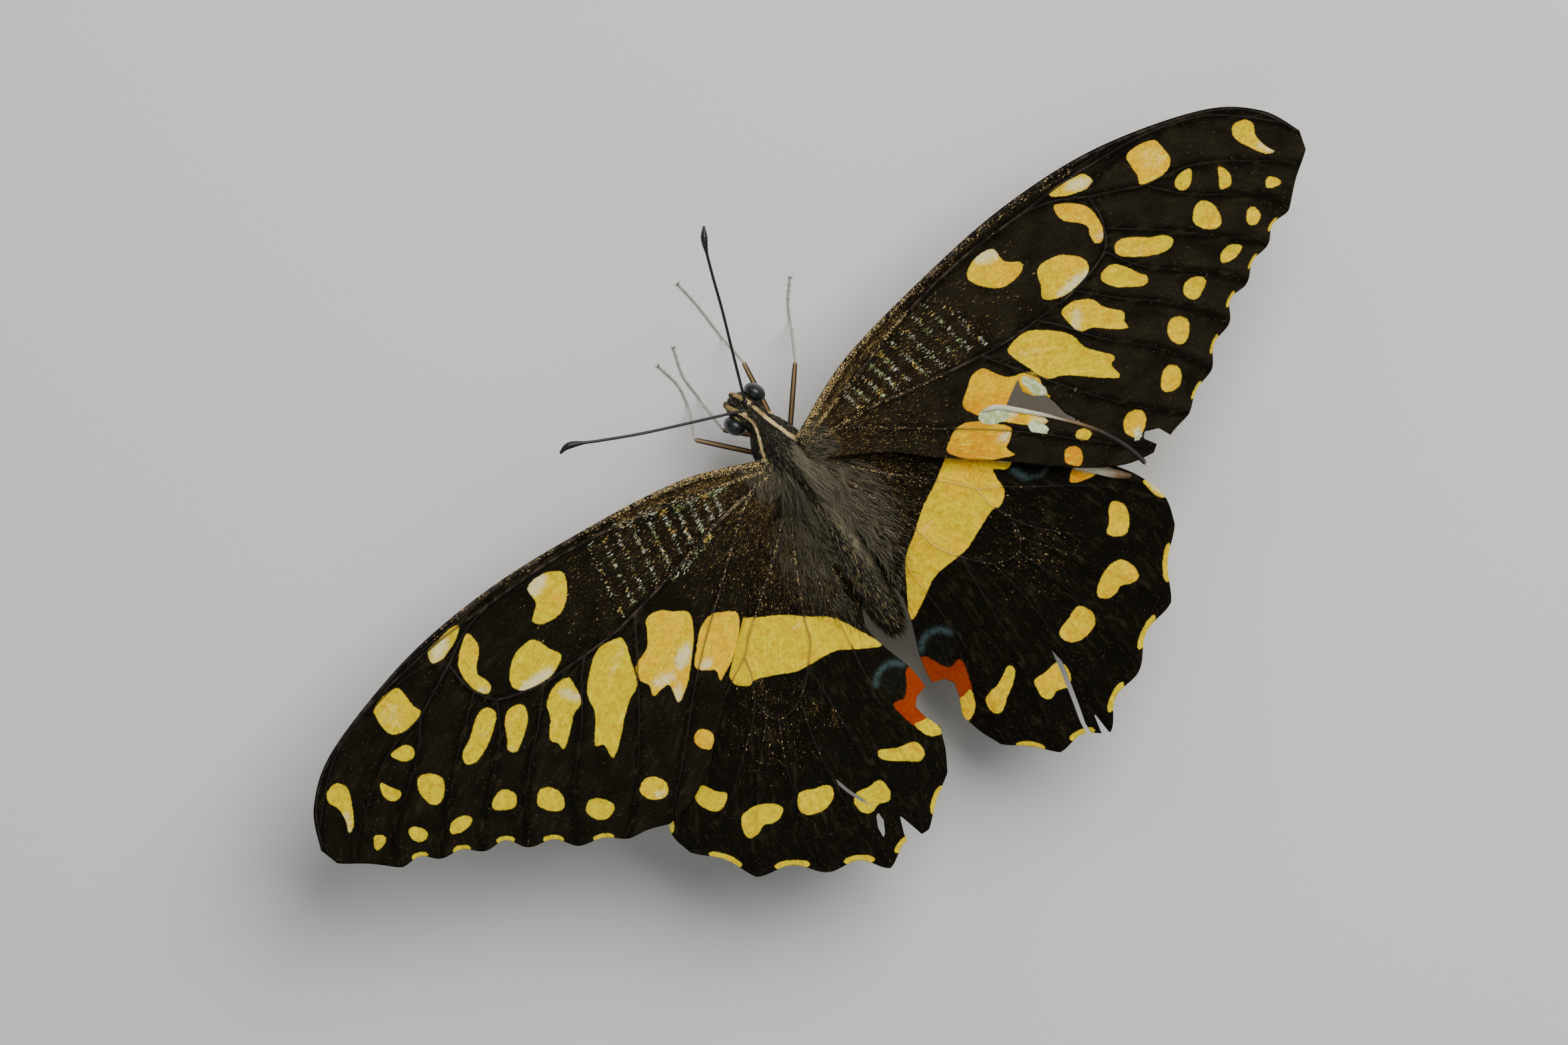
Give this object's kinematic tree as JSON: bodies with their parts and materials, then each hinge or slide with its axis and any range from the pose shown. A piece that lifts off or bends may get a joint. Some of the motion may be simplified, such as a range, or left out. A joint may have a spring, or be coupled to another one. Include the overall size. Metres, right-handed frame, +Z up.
{
  "type": "citrus swallowtail butterfly",
  "caption": "Life-size black and yellow swallowtail butterfly standing with its wings spread, worn at the wing edges, with hooked feelers and long jointed legs.",
  "frame": {"origin": "on the floor, under the middle of the box round the whole butterfly", "axes": "+Z up; the head points to -Y and the butterfly's own right side is -X"},
  "size_m": [0.1128, 0.0604, 0.0163],
  "materials": {
    "wing": "black-brown wing scales with yellow spots and a yellow band, dull with a faint sheen",
    "fur": "dark grey-brown hair with cream stripes",
    "abdomen": "short dark hair flecked with pale scales",
    "eye": "smooth glossy blue-black compound eye",
    "palp": "short bristly scales",
    "antenna": "black ringed horn",
    "proboscis": "dark brown glossy tube",
    "coxa": "short hair",
    "femur": "brown scales with a dark stripe",
    "shank": "pale cream-grey scales, claws dark"
  },
  "bodies": {
    "root": {"thorax": "fur", "abdomen": "abdomen", "prothorax": "fur", "head": "fur", "eye_right": "eye", "palp_right": "palp", "antenna_right": "antenna", "forewing_right": "wing", "hindwing_right": "wing", "eye_left": "eye", "palp_left": "palp", "antenna_left": "antenna", "forewing_left": "wing", "hindwing_left": "wing", "proboscis": "proboscis", "coxa_fore_right": "coxa", "femur_fore_right": "femur", "tibia_fore_right": "shank", "tarsus_fore_right": "shank", "coxa_fore_left": "coxa", "femur_fore_left": "femur", "tibia_fore_left": "shank", "tarsus_fore_left": "shank", "coxa_mid_right": "coxa", "femur_mid_right": "femur", "tibia_mid_right": "shank", "tarsus_mid_right": "shank", "coxa_mid_left": "coxa", "femur_mid_left": "femur", "tibia_mid_left": "shank", "tarsus_mid_left": "shank", "coxa_hind_right": "coxa", "femur_hind_right": "femur", "tibia_hind_right": "shank", "tarsus_hind_right": "shank", "coxa_hind_left": "coxa", "femur_hind_left": "femur", "tibia_hind_left": "shank", "tarsus_hind_left": "shank"}
  },
  "joints": []
}
